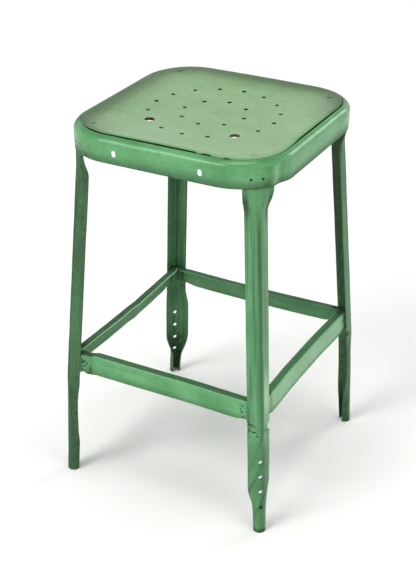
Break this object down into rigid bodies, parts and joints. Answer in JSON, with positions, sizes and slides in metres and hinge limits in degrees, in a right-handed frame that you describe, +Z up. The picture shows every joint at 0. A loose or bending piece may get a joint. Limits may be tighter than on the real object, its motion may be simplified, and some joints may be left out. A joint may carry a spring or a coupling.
{
  "type": "factory stool",
  "caption": "Tall square backless steel stool: pressed pan seat with a perforated board, splayed angle legs with rolled feet and a ring of foot rails, all brush-painted green.",
  "frame": {"origin": "on the floor, under the middle of the seat", "axes": "+Z up, -Y towards the front, the side of the skirt with two slots, +X to the right of a viewer there"},
  "size_m": [0.3672, 0.3672, 0.6096],
  "materials": {
    "green_enamel": "brush-painted green enamel on sheet steel, worn at edges",
    "painted_hardboard": "matte pale green paint on pressed fibre board",
    "painted_rivets": "painted over with the board",
    "painted_welds": "painted weld metal with a little rust"
  },
  "bodies": {
    "root": {"seat_pan": "green_enamel", "leg_front_left": "green_enamel", "leg_front_right": "green_enamel", "leg_rear_right": "green_enamel", "leg_rear_left": "green_enamel", "rail_front": "green_enamel", "rail_right": "green_enamel", "rail_rear": "green_enamel", "rail_left": "green_enamel", "seat_panel": "painted_hardboard", "panel_rivets": "painted_rivets", "rail_welds": "painted_welds", "pan_welds": "painted_welds"}
  },
  "joints": []
}
